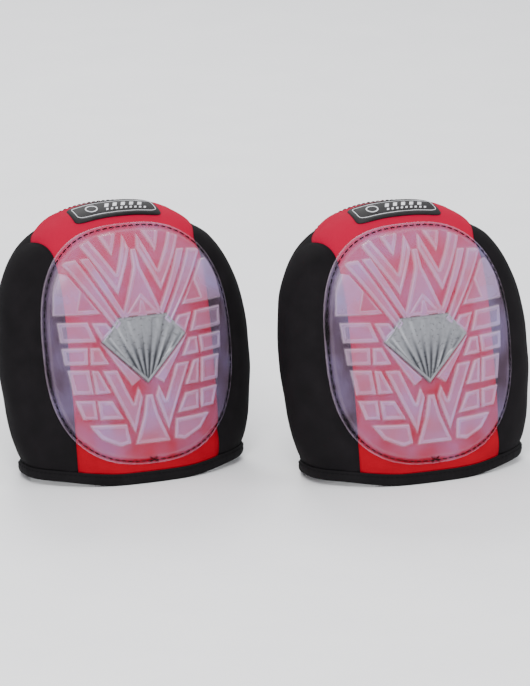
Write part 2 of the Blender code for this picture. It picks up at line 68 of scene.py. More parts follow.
# ---- the shell's form, as in the CAD ----
PAD_HEIGHT = 212 * MM
SHOULDER_Z = 92 * MM
HALF_WIDTH = 106 * MM
HEM_WIDTH_RATIO = 0.865
SIDE_POWER, TOP_POWER, FRONT_POWER, REAR_POWER = 2.25, 2.6, 2.3, 2.2
REAR_DEPTH = 62 * MM
RIM_REACH = 34 * MM
BULGE = (48 * MM, 44 * MM, 58 * MM)          # at the hem, half way up and at the top
LEAN_HEM, LEAN_RISE, LEAN_POWER = 35 * MM, 48 * MM, 1.4
CORNER_RISE = 5.5 * MM
SEAM_X = 63 * MM
SEAM_FLARE = 10 * MM                         # how far the seams spread over the top
FLARE_DEPTHS = (38 * MM, 74 * MM)
TOP_HALF_WIDTH = 52 * MM
FAN_Y, FAN_Z = 150 * MM, 48 * MM
HEM_ROW = 9.4 * MM

# ---- layers ----
GAP = 0.3 * MM
FABRIC = 1.5 * MM
SHELL, RIM_SHELL = 14.0 * MM, 4.8 * MM
LINING = 1.2 * MM
CAP_Z = 109.5 * MM                           # the cap's middle
CAP_HALF = (83 * MM, 93.5 * MM)
CAP_POWER = 2.6
CAP_BODY = 2.4 * MM                          # the cap's thickness between its ribs
CAP_RIB = 2.3 * MM
FLANGE = 1.2 * MM
FLANGE_WIDTH = 5.0 * MM
STITCH_INSET = 2.6 * MM

# ---- the fabric's relief ----
SEAM_DIP, EDGE_DIP, CAP_DIP = 1.5 * MM, 1.1 * MM, 1.3 * MM
SWELL, RIPPLE = 1.7 * MM, 0.35 * MM

SIDES = {"left": -1, "right": 1}


# ---- form ----
def smooth(t):
    t = np.clip(t, 0, 1)
    return t * t * (3 - 2 * t)


def widest_y(z):
    return LEAN_HEM + LEAN_RISE * np.clip(z / PAD_HEIGHT, 0, 1) ** LEAN_POWER


def half_width(z):
    drop = np.clip((SHOULDER_Z - z) / SHOULDER_Z, 0, 1)
    return HALF_WIDTH * (1 - (1 - HEM_WIDTH_RATIO) * drop ** 1.8)


def bulge(z):
    w = np.clip(z / PAD_HEIGHT, 0, 1)
    return BULGE[0] * (1 - w) * (1 - 2 * w) + BULGE[1] * 4 * w * (1 - w) + BULGE[2] * w * (2 * w - 1)


def arch(x, z):
    up = np.clip((z - SHOULDER_Z) / (PAD_HEIGHT - SHOULDER_Z), 0, None)
    return (np.abs(x) / half_width(z)) ** SIDE_POWER + up ** TOP_POWER


def level(p):
    """Zero on the shell's outer face, negative inside it."""
    x, y, z = p[..., 0], p[..., 1], p[..., 2]
    depth = y - widest_y(z)
    front = (np.clip(-depth, 0, None) / bulge(z)) ** FRONT_POWER
    rear = (np.clip(depth, 0, RIM_REACH + 3 * MM) / REAR_DEPTH) ** REAR_POWER
    return arch(x, z) + front + rear - 1


def gradient(p):
    step = 0.02 * MM
    return np.stack([level(p + step * a) - level(p - step * a) for a in np.eye(3)], -1) / (2 * step)


def unit(vectors):
    return vectors / np.linalg.norm(vectors, axis=-1, keepdims=True)


def normal(p):
    return unit(gradient(p))


def raised(face, height):
    """Places that stand a height off the outer face."""
    return face + normal(face) * np.asarray(height)[..., None]


def settle(p):
    """Moves points that are near the outer face onto it."""
    for _ in range(4):
        grad = gradient(p)
        p = p - grad * (level(p) / (grad ** 2).sum(-1))[..., None]
    return p


def front_point(x, z):
    """The outer face's point ahead of the widest line."""
    y = widest_y(z) - bulge(z) * (1 - np.clip(arch(x, z), 0, 1)) ** (1 / FRONT_POWER)
    return np.stack([x, y, z], -1)


def last_true(holds, low, high, turns=40):
    """The farthest place between low and high where a test still holds."""
    for _ in range(turns):
        mid = (low + high) / 2
        inside = holds(mid)
        low = np.where(inside, mid, low)
        high = np.where(inside, high, mid)
    return low


def cast(start, direction, reach):
    """Where straight lines from inside the shell meet its outer face."""
    near = np.zeros(np.broadcast(start, direction).shape[:-1])
    far = last_true(lambda t: level(start + t[..., None] * direction) < 0, near, near + reach)
    return start + far[..., None] * direction


def row_curve(height, tilt):
    """The outer face's curve in one row plane, from rim to rim."""
    turn = np.linspace(-1.3, 1.3, 2001)
    ahead = np.array([0, -math.cos(tilt), math.sin(tilt)])
    rays = np.sin(turn)[:, None] * np.array([1.0, 0, 0]) + np.cos(turn)[:, None] * ahead
    points = cast(np.array([0, FAN_Y, height]), rays, 300 * MM)
    reach = widest_y(points[:, 2]) + RIM_REACH - points[:, 1]
    keep = np.where(reach >= 0)[0]
    return points[keep[0]:keep[-1] + 1] if len(keep) else points[:0]


def corner_lift(curve):
    out = smooth((np.abs(curve[:, 0]) - 25 * MM) / (60 * MM))
    behind = np.clip((curve[:, 1] - widest_y(curve[:, 2])) / RIM_REACH, 0, 1)
    return out * (1 - behind ** 1.5)


def lifted_row(z):
    curve = row_curve(z, 0.0)
    lifted = curve.copy()
    lifted[:, 2] += CORNER_RISE * corner_lift(curve) * (1 - min(z / (60 * MM), 1))
    return settle(lifted)


def top_tilt():
    """The tilt of the row that ends the shell at its top."""
    def wide(tilt):
        curve = row_curve(FAN_Z, tilt)
        return len(curve) > 0 and curve[-1, 0] > TOP_HALF_WIDTH

    return last_true(wide, math.radians(50), math.radians(95), 22)


def along(points):
    """The length of a path up to each of its points."""
    steps = np.linalg.norm(np.diff(points, axis=0), axis=1)
    return np.concatenate([[0], np.cumsum(steps)])


def values_at(lengths, arc, values):
    """A path's points, or other values of its points, at given lengths along it."""
    return np.stack([np.interp(lengths, arc, column) for column in values.T], -1)


CENTRE_CELLS, SIDE_CELLS = 78, 50
LEVEL_ROWS, FAN_ROWS = 22, 92


def pick_columns(curve):
    arc = along(curve)
    middle = len(curve) // 2
    share = smooth((curve[middle, 1] - FLARE_DEPTHS[0]) / (FLARE_DEPTHS[1] - FLARE_DEPTHS[0]))
    seam = min(SEAM_X + SEAM_FLARE * share, 0.86 * abs(curve[-1, 0]))
    seam_arc = np.interp(seam, curve[middle:, 0], arc[middle:])
    half = arc[-1] / 2
    centre = half + (seam_arc - half) * np.linspace(0, 1, CENTRE_CELLS // 2 + 1)
    side = seam_arc + (arc[-1] - seam_arc) * np.linspace(0, 1, SIDE_CELLS + 1)[1:]
    right = np.concatenate([centre, side])
    places = np.concatenate([2 * half - right[:0:-1], right])
    return values_at(places, arc, curve)


class Shell:
    """The fine grid of one pad's outer face, with the distances that its padding follows."""

    def __init__(self):
        rows = [pick_columns(lifted_row(z)) for z in np.linspace(HEM_ROW, FAN_Z, LEVEL_ROWS)[:-1]]
        last = top_tilt()
        rows += [pick_columns(row_curve(FAN_Z, last * f)) for f in np.linspace(0, 1, FAN_ROWS)]
        self.points = settle(np.array(rows))
        self.normals = normal(self.points)
        across = np.linalg.norm(np.diff(self.points, axis=1), axis=2)
        upward = np.linalg.norm(np.diff(self.points, axis=0), axis=2)
        count, cols = self.points.shape[:2]
        self.u = np.concatenate([np.zeros((count, 1)), across.cumsum(1)], 1)
        self.v = np.concatenate([np.zeros((1, cols)), upward.cumsum(0)], 0)
        self.seam_left, self.seam_right = SIDE_CELLS, cols - 1 - SIDE_CELLS
        to_sides = np.minimum(self.u, self.u[:, -1:] - self.u)
        self.to_edge = np.minimum(to_sides, np.minimum(self.v[-1] - self.v, self.v))
        left, right = self.u[:, self.seam_left], self.u[:, self.seam_right]
        self.to_seam = np.minimum(abs(self.u - left[:, None]), abs(self.u - right[:, None]))
        self.u = self.u - self.u[:, cols // 2][:, None]
        ahead = self.points[..., 1] < widest_y(self.points[..., 2]) + 4 * MM
        self.to_cap = np.where(ahead, cap_distance(self.points[..., 0], self.points[..., 2]), 60 * MM)
        self.lift = self.plump()

    def plump(self):
        """How far the outer fabric stands off the CAD face: seams pull in, padding swells."""
        uncovered = smooth((self.to_cap + 3 * MM) / (6 * MM))
        seam = -SEAM_DIP * np.exp(-(self.to_seam / (3.2 * MM)) ** 2) * uncovered
        edge = -EDGE_DIP * np.exp(-(self.to_edge / (5 * MM)) ** 2)
        swell = SWELL * smooth(self.to_cap / (13 * MM)) * smooth(self.to_seam / (20 * MM))
        swell *= smooth(self.to_edge / (26 * MM))
        x, y, z = (self.points[..., k] for k in range(3))
        ripple = np.sin(x * 95 + 1.3 * np.sin(z * 61)) * np.sin(z * 83 + 2.1 * np.sin(y * 57))
        ripple += 0.6 * np.sin(x * 171 + z * 133 + 1.7) * np.sin(y * 149 - z * 97)
        ripple *= RIPPLE * smooth(self.to_cap / (10 * MM))
        return valley(self.to_cap) + seam + edge + swell + ripple - 0.15 * MM

    def depth(self):
        """Depth of the padding's inner face below the CAD's outer face."""
        return RIM_SHELL + (SHELL - RIM_SHELL) * smooth(self.to_edge / (40 * MM))


def superellipse_size(x, y, power):
    """How far out a place is; 1 on the superellipse with half sizes of 1."""
    return (np.abs(x) ** power + np.abs(y) ** power) ** (1 / power)


def cap_distance(x, z):
    """Roughly how far outside the cap's outline a place is; negative inside it."""
    size = superellipse_size(x / CAP_HALF[0], (z - CAP_Z) / CAP_HALF[1], CAP_POWER)
    return (size - 1) * np.hypot(x, z - CAP_Z) / np.maximum(size, 0.05)


def valley(to_cap):
    """The dip that the cap's stitching pulls into the padding around its edge."""
    return -CAP_DIP * np.exp(-(to_cap / (4.5 * MM)) ** 2)


# ---- mesh helpers ----
def new_mesh(name, verts, faces, uv=None, **values):
    """A smooth mesh; a block's inner grid repeats its outer UVs and has 0 for its other values."""
    mesh = bpy.data.meshes.new(name)
    mesh.from_pydata(np.asarray(verts).tolist(), [], faces)
    if uv is not None:
        layer = mesh.uv_layers.new(name="cloth")
        loops = np.empty(len(mesh.loops), dtype=np.int32)
        mesh.loops.foreach_get("vertex_index", loops)
        uv = np.resize(uv, (len(verts), 2)).astype(np.float32)
        layer.data.foreach_set("uv", uv[loops].ravel())
    for key, value in values.items():
        full = np.zeros(len(verts), dtype=np.float32)
        full[:value.size] = value.ravel()
        mesh.attributes.new(key, "FLOAT", "POINT").data.foreach_set("value", full)
    mesh.shade_smooth()
    obj = bpy.data.objects.new(name, mesh)
    bpy.context.collection.objects.link(obj)
    return obj


def block(outer, inner):
    """Vertices and faces of a closed solid between two matching grids."""
    rows, cols = outer.shape[:2]
    count = rows * cols
    verts = np.concatenate([outer.reshape(-1, 3), inner.reshape(-1, 3)])
    a = (np.arange(rows - 1)[:, None] * cols + np.arange(cols - 1)).ravel()
    top = np.stack([a, a + 1, a + cols + 1, a + cols], 1)
    low = top[:, ::-1] + count
    edge = list(range(cols)) + [r * cols + cols - 1 for r in range(1, rows)]
    edge += [(rows - 1) * cols + c for c in range(cols - 2, -1, -1)]
    edge += [r * cols for r in range(rows - 2, 0, -1)]
    edge = np.array(edge)
    after = np.roll(edge, -1)
    wall = np.stack([after, edge, edge + count, after + count], 1)
    return verts, np.concatenate([top, low, wall]).tolist()


def sweep(rings, closed=False):
    """A closed solid through a run of matching rings of points."""
    rings = np.asarray(rings)
    runs, count = rings.shape[:2]
    faces = []
    for r in range(runs if closed else runs - 1):
        a, b = r * count, (r + 1) % runs * count
        for k in range(count):
            n = (k + 1) % count
            faces.append((a + k, b + k, b + n, a + n))
    if not closed:
        faces.append(tuple(range(count)))
        faces.append(tuple(range((runs - 1) * count, runs * count))[::-1])
    return rings.reshape(-1, 3), faces


def outward(obj):
    """Turns every closed body of the mesh to face out."""
    bm = bmesh.new()
    bm.from_mesh(obj.data)
    bmesh.ops.recalc_face_normals(bm, faces=bm.faces)
    bm.to_mesh(obj.data)
    bm.free()
    return obj


def tube(path, radius, sides=8, closed=False):
    """A round tube along a path, its rings square to the path."""
    path = np.asarray(path, dtype=float)
    ahead = np.roll(path, -1, 0) - np.roll(path, 1, 0)
    if not closed:
        ahead[0], ahead[-1] = path[1] - path[0], path[-1] - path[-2]
    ahead = unit(ahead)
    side = unit(np.cross(ahead, (0.13, 0.21, 0.97)))
    up = np.cross(side, ahead)
    turn = np.arange(sides) * 2 * math.pi / sides
    ring = np.cos(turn)[None, :, None] * side[:, None] + np.sin(turn)[None, :, None] * up[:, None]
    radius = np.broadcast_to(radius, (len(path),))
    return sweep(path[:, None] + ring * radius[:, None, None], closed)


def joined(parts):
    """Several vertex and face lists as one."""
    verts, faces, start = [], [], 0
    for more, quads in parts:
        verts.append(np.asarray(more))
        faces += [tuple(v + start for v in q) for q in quads]
        start += len(more)
    return np.concatenate(verts), faces


def stitches(path, lift, length=3.6 * MM, gap=1.3 * MM, radius=0.42 * MM):
    """A row of sewn stitches along a path; lift is the outward direction at each point."""
    arc = along(path)
    count = max(int(arc[-1] / (length + gap)), 1)
    pitch = arc[-1] / count
    parts = []
    share = np.array([0.0, 0.12, 0.35, 0.65, 0.88, 1.0])
    rise = radius * np.array([-0.5, 0.15, 0.62, 0.62, 0.15, -0.5])
    thick = radius * np.array([0.55, 0.9, 1.0, 1.0, 0.9, 0.55])
    for k in range(count):
        at = k * pitch + gap / 2 + share * (pitch - gap)
        spots = values_at(at, arc, path) + values_at(at, arc, lift) * rise[:, None]
        parts.append(tube(spots, thick, sides=6))
    return joined(parts)


# ---- materials ----
def nodes_of(name, colour, roughness, **inputs):
    mat = bpy.data.materials.new(name)
    mat.use_nodes = True
    tree = mat.node_tree
    shader = tree.nodes["Principled BSDF"]
    shader.inputs["Base Color"].default_value = (*colour, 1)
    shader.inputs["Roughness"].default_value = roughness
    for key, value in inputs.items():
        shader.inputs[key.replace("_", " ")].default_value = value
    return mat, tree, shader


def feed(shader, name, value):
    shader.id_data.links.new(value, shader.inputs[name])


def node(tree, kind, **settings):
    made = tree.nodes.new(kind)
    for key, value in settings.items():
        if key.startswith("in_"):
            made.inputs[key[3:].replace("_", " ")].default_value = value
        else:
            setattr(made, key, value)
    return made


def math_node(tree, operation, a, b=None):
    made = node(tree, "ShaderNodeMath", operation=operation)
    for slot_index, value in enumerate((a, b)):
        if value is None:
            continue
        if isinstance(value, (int, float)):
            made.inputs[slot_index].default_value = value
        else:
            tree.links.new(value, made.inputs[slot_index])
    return made.outputs[0]


def mixed(tree, factor, low, high):
    """A colour mix; low and high are colours or sockets."""
    made = node(tree, "ShaderNodeMix", data_type="RGBA")
    tree.links.new(factor, made.inputs["Factor"])
    for key, value in (("A", low), ("B", high)):
        socket = [s for s in made.inputs if s.name == key and s.type == "RGBA"][0]
        if isinstance(value, tuple):
            socket.default_value = (*value, 1)
        else:
            tree.links.new(value, socket)
    return [s for s in made.outputs if s.type == "RGBA"][0]


def ranged(tree, value, low, high, out_low=0.0, out_high=1.0):
    made = node(tree, "ShaderNodeMapRange", in_From_Min=low, in_From_Max=high,
                in_To_Min=out_low, in_To_Max=out_high)
    tree.links.new(value, made.inputs["Value"])
    return made.outputs["Result"]


def coords_of(tree, kind="Object"):
    return node(tree, "ShaderNodeTexCoord").outputs[kind]


def weave(tree, coords, pitch, along_u=1.0):
    """A woven height: crossed threads of the given pitch, in metres."""
    waves = []
    for axis, scale in (("X", along_u), ("Y", 1.0)):
        band = node(tree, "ShaderNodeTexWave", wave_type="BANDS", bands_direction=axis,
                    in_Scale=scale * 0.3142 / pitch, in_Distortion=0.6, in_Detail=1.0)
        tree.links.new(coords, band.inputs["Vector"])
        waves.append(band.outputs["Fac"])
    return math_node(tree, "MULTIPLY", waves[0], waves[1])


def noise(tree, scale, detail=3.0):
    made = node(tree, "ShaderNodeTexNoise", in_Scale=scale, in_Detail=detail)
    tree.links.new(coords_of(tree), made.inputs["Vector"])
    return made.outputs["Fac"]


def bumped(tree, shader, height, distance, strength):
    bump = node(tree, "ShaderNodeBump", in_Strength=strength, in_Distance=distance)
    tree.links.new(height, bump.inputs["Height"])
    tree.links.new(bump.outputs["Normal"], shader.inputs["Normal"])


def fabric(name, colour, dark, pitch, space="UV", sheen=0.35, painted_lit_top_colour=None):
    """Knitted or woven cloth: thread relief, mottled colour and a soft sheen; a top colour adds painted
    light, lighter cloth higher up.
    """
    mat, tree, shader = nodes_of(name, colour, 0.8, Sheen_Weight=sheen, Sheen_Roughness=0.45,
                                 Specular_IOR_Level=0.06)
    threads = weave(tree, coords_of(tree, space), pitch)
    mottle = noise(tree, 55.0, 4.0)
    base = mixed(tree, ranged(tree, mottle, 0.3, 0.7), dark, colour)
    # painted light: higher up (object Z) the cloth turns to the top colour, so the top reads as lit and the
    # lower part as painted shade
    if painted_lit_top_colour:
        split = node(tree, "ShaderNodeSeparateXYZ")
        tree.links.new(coords_of(tree), split.inputs[0])
        base = mixed(tree, ranged(tree, split.outputs["Z"], 0.06, 0.2), base, painted_lit_top_colour)
    # the weave's raised threads are made lighter
    raised_threads_lighter = mixed(tree, ranged(tree, threads, 0.0, 1.0, 0.0, 0.35), base,
                 tuple(min(c * 1.5 + 0.003, 1) for c in colour))
    feed(shader, "Base Color", raised_threads_lighter)
    height = math_node(tree, "ADD", threads, math_node(tree, "MULTIPLY", mottle, 0.4))
    bumped(tree, shader, height, 0.25 * MM, 0.55)
    feed(shader, "Roughness", ranged(tree, mottle, 0.2, 0.8, 0.72, 0.9))
    return mat


def attribute(tree, name):
    made = node(tree, "ShaderNodeAttribute", attribute_name=name)
    return made.outputs["Fac"]


def gel_material(name, see_through):
    """Clear milky gel: thicker ribs are cloudier, and a painted highlight makes their edges lighter and
    cloudier.
    """
    mat, tree, shader = nodes_of(name, (0.46, 0.36, 0.68), 0.2, IOR=1.38)
    lift, edge = attribute(tree, "lift"), attribute(tree, "edge")
    cloud = noise(tree, 38.0)
    base = mixed(tree, ranged(tree, cloud, 0.3, 0.75), (0.54, 0.32, 0.50), (0.42, 0.34, 0.68))
    # painted highlight: the edge attribute lightens the gel's colour here and raises its cloudiness below,
    # along the ribs' slopes and the cap's lip
    base = mixed(tree, edge, base, (0.78, 0.62, 0.74))
    feed(shader, "Base Color", base)
    milk = math_node(tree, "MULTIPLY", lift, see_through[1] - see_through[0])
    milk = math_node(tree, "ADD", milk, see_through[0])
    milk = math_node(tree, "ADD", milk, math_node(tree, "MULTIPLY", edge, see_through[2]))
    milk = math_node(tree, "ADD", milk, ranged(tree, cloud, 0.3, 0.7, -0.05, 0.06))
    feed(shader, "Alpha", milk)
    bumped(tree, shader, noise(tree, 900.0, 2.0), 0.05 * MM, 0.25)
    return mat


def moulded(name, colour, roughness, grain=700.0, gloss=0.5):
    """Moulded plastic, rubber, foam or gel with fine grain and uneven gloss."""
    mat, tree, shader = nodes_of(name, colour, roughness, Specular_IOR_Level=gloss)
    fine, broad = noise(tree, grain, 2.0), noise(tree, 60.0)
    lighter = tuple(min(c * 1.35 + 0.012, 1) for c in colour)
    feed(shader, "Base Color", mixed(tree, ranged(tree, broad, 0.35, 0.7), colour, lighter))
    feed(shader, "Roughness", ranged(tree, broad, 0.2, 0.8, roughness - 0.07, roughness + 0.1))
    bumped(tree, shader, fine, 0.06 * MM, 0.4)
    return mat


def inlay_metal(name, colour, dark):
    """Satin metal that darkens in its flutes."""
    mat, tree, shader = nodes_of(name, colour, 0.3, Metallic=0.5)
    brushed = noise(tree, 320.0, 4.0)
    satin = mixed(tree, ranged(tree, brushed, 0.3, 0.7), tuple(c * 0.8 for c in colour), colour)
    feed(shader, "Base Color", mixed(tree, attribute(tree, "streak"), satin, dark))
    feed(shader, "Roughness", ranged(tree, brushed, 0.3, 0.7, 0.24, 0.42))
    bumped(tree, shader, brushed, 0.05 * MM, 0.4)
    return mat


def ribbed(name, colour, pitch):
    """Ribbed elastic or webbing: cords along the band, crossed by fine picks."""
    mat, tree, shader = nodes_of(name, colour, 0.75, Sheen_Weight=0.25)
    threads = weave(tree, coords_of(tree, "UV"), pitch, along_u=0.45)
    mottle = noise(tree, 90.0)
    lighter = tuple(c * 1.9 + 0.012 for c in colour)
    feed(shader, "Base Color", mixed(tree, ranged(tree, threads, 0.1, 1.0, 0, 0.8), colour, lighter))
    bumped(tree, shader, math_node(tree, "ADD", threads, math_node(tree, "MULTIPLY", mottle, 0.3)),
           0.35 * MM, 0.7)
    return mat


# named for the record's material slots; the cap's back, the print and the thread have none
MATERIALS = {
    # the crimson's top colour is painted light: a lighter red higher up and a painted shade lower down
    "crimson_fabric": fabric("red_knit", (0.31, 0.002, 0.011), (0.25, 0.001, 0.008), 0.7 * MM, sheen=0.0,
                             painted_lit_top_colour=(0.40, 0.003, 0.034)),
    "black_fabric": fabric("black_knit", (0.009, 0.0078, 0.0088), (0.005, 0.0045, 0.005), 0.7 * MM,
                           sheen=0.0),
    "lining": fabric("lining_mesh", (0.028, 0.028, 0.031), (0.012, 0.012, 0.014), 2.2 * MM, sheen=0.2),
    "binding": fabric("binding_tape", (0.0085, 0.0078, 0.0085), (0.005, 0.0045, 0.005), 0.9 * MM, sheen=0.01),
    "loop_tape": fabric("loop_pile", (0.022, 0.022, 0.024), (0.010, 0.010, 0.011), 0.5 * MM, space="Object"),
    "elastic": ribbed("strap_elastic", (0.014, 0.014, 0.016), 1.1 * MM),
    "webbing": ribbed("tab_webbing", (0.012, 0.012, 0.013), 0.9 * MM),
    "cap_gel": gel_material("cap_gel_outer", (0.12, 0.42, 0.20)),
    "cap_back": gel_material("cap_gel_back", (0.05, 0.05, 0.0)),
    "gel": moulded("core_gel", (0.35, 0.45, 0.6), 0.3, 300.0),
    "foam": moulded("shell_foam", (0.05, 0.05, 0.055), 0.9, 1500.0),
    "plastic": moulded("moulded_acetal", (0.016, 0.016, 0.018), 0.38),
    "label_rubber": moulded("label_rubber", (0.010, 0.0095, 0.010), 0.6, gloss=0.14),
    "print": moulded("pale_print", (0.6, 0.6, 0.62), 0.6),
    "emblem": inlay_metal("satin_inlay", (0.24, 0.245, 0.265), (0.012, 0.014, 0.02)),
    "thread": fabric("black_thread", (0.007, 0.006, 0.007), (0.004, 0.004, 0.0045), 0.3 * MM, space="Object",
                     sheen=0.0),
    "hook_tape": moulded("hook_tape", (0.02, 0.02, 0.022), 0.5),
}


# ---- one pad ----
class Pad:
    """Places one pad's pieces, which are made in the pad's own frame, in the row frame."""

    def __init__(self, name, shell):
        self.name = name
        self.shell = shell
        self.side = SIDES[name]
        low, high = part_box(f"{name}_foam_shell")
        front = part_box(f"{name}_hem_binding")[0][1]
        hem_front = front_point(np.array(0.0), np.array(HEM_ROW))[1] - 0.8 * MM
        self.offset = np.array([(low[0] + high[0]) / 2, front - hem_front, 0.0])

    def add(self, name, shape, material, stands_for=True, body="pad", uv=None, **values):
        """Adds a piece, in place of the CAD node of the same name if it stands for one."""
        verts, faces = shape
        place = np.asarray(verts) + self.offset
        obj = new_mesh(f"{self.name}_{name}_look", place, faces, uv, **values)
        outward(obj)
        obj.data.materials.append(MATERIALS[material])
        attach(obj, f"{self.name}_{body}")
        if stands_for:
            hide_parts(f"{self.name}_{name}")
        return obj

    def sew(self, name, shape, body="pad"):
        """Adds a row of stitches, which stands for no CAD node."""
        self.add(name, shape, "thread", stands_for=False, body=body)


def off_face(shell, depth):
    """The shell's grid moved in by a depth."""
    return shell.points - shell.normals * depth[..., None]


def panels(pad):
    shell = pad.shell
    outer = off_face(shell, -shell.lift)
    inner = off_face(shell, FABRIC - np.minimum(shell.lift, 0))
    last = shell.points.shape[1] - 1
    sides = ("outer_side_panel", "inner_side_panel")[::-pad.side]
    spans = ((sides[0], 0, shell.seam_left, "black_fabric"),
             ("centre_panel", shell.seam_left, shell.seam_right, "crimson_fabric"),
             (sides[1], shell.seam_right, last, "black_fabric"))
    uv = np.stack([shell.u, shell.v], -1)
    for name, first, end, material in spans:
        part = slice(first, end + 1)
        flat = uv[:, part].reshape(-1, 2)
        piece = pad.add(name, block(outer[:, part], inner[:, part]), material, uv=flat)


def gel_zone(shell):
    """How far out each place is from the middle of the gel core; 1 at its edge."""
    x, z = shell.points[..., 0], shell.points[..., 2]
    size = np.hypot(x / (56 * MM), (z - 108 * MM) / (66 * MM))
    return np.where(shell.points[..., 1] < widest_y(z), size, 2.0)


def padding(pad):
    """The foam shell and the gel core let into its back."""
    shell = pad.shell
    depth, size = shell.depth(), gel_zone(shell)
    gel = 3.4 * MM * smooth((1.0 - size) / 0.18)
    skin = FABRIC - np.minimum(shell.lift, 0) + 0.1 * MM
    shape = block(off_face(shell, skin), off_face(shell, depth - gel - 0.2 * MM))
    foam = pad.add("foam_shell", shape, "foam")
    rows = np.where((size < 0.95).any(1))[0]
    cols = np.where((size < 0.95).any(0))[0]
    zone = (slice(rows[0], rows[-1] + 1), slice(cols[0], cols[-1] + 1))
    base = depth[zone] - 0.05 * MM
    thick = np.clip(gel[zone] - 0.4 * MM, 0.05 * MM, None)
    place, away = shell.points[zone], shell.normals[zone]
    front, back = place - away * (base - thick)[..., None], place - away * base[..., None]
    core = pad.add("gel_core", block(front, back), "gel")


def lining(pad):
    """The quilted mesh that faces the knee: a padded middle, ribs around it, flat at the rim."""
    shell = pad.shell
    depth, size = shell.depth(), gel_zone(shell)
    seam = 1.1 * MM * np.exp(-((size - 1.05) * 60 * MM / (2.4 * MM)) ** 2)
    middle = 1.6 * MM * smooth((1.0 - size) / 0.3)
    ribs = 0.8 * MM * np.abs(np.sin(shell.u * math.pi / (19 * MM))) ** 0.7
    ribs *= smooth((size - 1.1) / 0.1) * smooth(shell.to_edge / (18 * MM))
    outer = off_face(shell, depth + 0.1 * MM)
    inner = off_face(shell, depth + GAP + LINING + middle + ribs - seam)
    uv = np.stack([shell.u, shell.v], -1).reshape(-1, 2)
    piece = pad.add("inner_lining", block(outer, inner), "lining", uv=uv)


# ---- clear cap ----
# The tread's raised shapes, mirrored, in mm across and up; each with the width of the raised
# edge about its sunk middle, or 0 where it has none.
TREAD = (
    (2.6, ((19, 180), (29, 199), (9, 199))),
    (2.4, ((18.6, 151), (44, 190), (36, 195), (18, 168), (6, 195), (2.8, 184))),
    (2.6, ((-2.6, 184), (2.6, 184), (3.4, 171), (18, 134), (-18, 134), (-3.4, 171))),
    (0, ((-17, 133), (0, 152), (17, 133), (12.5, 133), (0, 147), (-12.5, 133))),
    (0, ((-1.6, 146), (1.6, 146), (4.6, 133), (-4.6, 133))),
    (2.2, ((61, 177), (56, 171), (23.5, 124), (18.5, 129.5), (48, 179))),
    (0, ((45.5, 179.5), (38, 180), (14, 135.5), (17.6, 131.8))),
    (0, ((38.8, 116.5), (14, 79), (6, 84.5), (36, 114.5))),
    (2.4, ((38, 93.5), (14.5, 41), (5.5, 69), (9, 78.5), (14, 66), (25.5, 93))),
    (2.6, ((-3, 71), (3, 71), (6.5, 55), (15.5, 32.5), (-15.5, 32.5), (-6.5, 55))),
    (0, ((68, 171), (57.5, 169), (35, 138), (73, 138))),
    (2.8, ((46.5, 132.6), (70.5, 133), (69.5, 117), (40.5, 116.4))),
    (2.2, ((43.8, 131.8), (31.2, 131), (26, 124.5), (36.2, 115.6))),
    (2.6, ((69, 113), (48.2, 112.6), (49, 98.8), (67.8, 99.4))),
    (2.4, ((46.6, 112.4), (38.6, 112), (31.5, 98), (47.4, 98.4))),
    (2.8, ((66, 95.6), (48.6, 94.8), (46.4, 75), (62.6, 75.6))),
    (2.4, ((47, 94.6), (41, 93.6), (32, 74.8), (44.8, 75))),
    (2.4, ((62, 71.2), (45.8, 70.4), (44.6, 55), (56.6, 55.4))),
    (2.6, ((44.2, 70.2), (31.6, 69), (23, 53.4), (43, 54.6))),
    (2.6, ((52.5, 51), (21.2, 49.6), (18.8, 34), (28, 32), (43.5, 39))),
)
WINDOW = ((49, 157), (38.5, 141), (54, 141))          # a deeper opening in the highest side block


def edge_distance(x, z, corners):
    """Distance inside a polygon; negative outside it."""
    best = np.full(x.shape, 1e9)
    inside = np.zeros(x.shape, bool)
    for (ax, az), (bx, bz) in zip(corners, corners[1:] + corners[:1]):
        dx, dz = bx - ax, bz - az
        share = np.clip(((x - ax) * dx + (z - az) * dz) / (dx * dx + dz * dz), 0, 1)
        best = np.minimum(best, np.hypot(x - ax - share * dx, z - az - share * dz))
        crosses = (az > z) != (bz > z)
        at = ax + (z - az) * dx / (dz if dz else 1e-9)
        inside ^= crosses & (x < at)
    return np.where(inside, best, -best)


def tread_height(x, z):
    """The tread's height as a share of a full rib, from places in mm."""
    height = np.zeros(x.shape)
    for frame_width, shape in TREAD:
        depth = edge_distance(np.abs(x), z, shape)
        top = smooth((depth + 0.3) / 1.5)
        if frame_width:
            top -= 0.34 * smooth((depth - frame_width + 0.4) / 1.1)
        height = np.maximum(height, top)
    return height - 0.62 * smooth((edge_distance(np.abs(x), z, WINDOW) + 0.3) / 1.3)


def superellipse_line(half_x, half_z, power, turn):
    """Places along a superellipse about the origin."""
    c, s = np.cos(turn), np.sin(turn)
    x = half_x * np.sign(c) * np.abs(c) ** (2 / power)
    return x, half_z * np.sign(s) * np.abs(s) ** (2 / power)


def superellipse_grid(half_x, half_z, power, count_x, count_z):
    """A grid of places that fills a superellipse about the origin."""
    s, t = np.meshgrid(np.linspace(-1, 1, count_x), np.linspace(-1, 1, count_z))
    reach = np.maximum(np.abs(s), np.abs(t))
    scale = reach / np.maximum(superellipse_size(s, t, power), 1e-9)
    return s * scale * half_x, t * scale * half_z


def cap_height(x, z):
    """The cap's outer height above the panel, and how much of it is tread."""
    inward = -cap_distance(x, z)
    body = FLANGE + (CAP_BODY - FLANGE) * smooth((inward - FLANGE_WIDTH) / (2.2 * MM))
    tread = tread_height(x / MM, z / MM) * smooth((inward - FLANGE_WIDTH - 1.5 * MM) / (2 * MM))
    lip = smooth(inward / (0.9 * MM)) ** 0.5
    return body * (0.25 + 0.75 * lip) + CAP_RIB * tread, tread


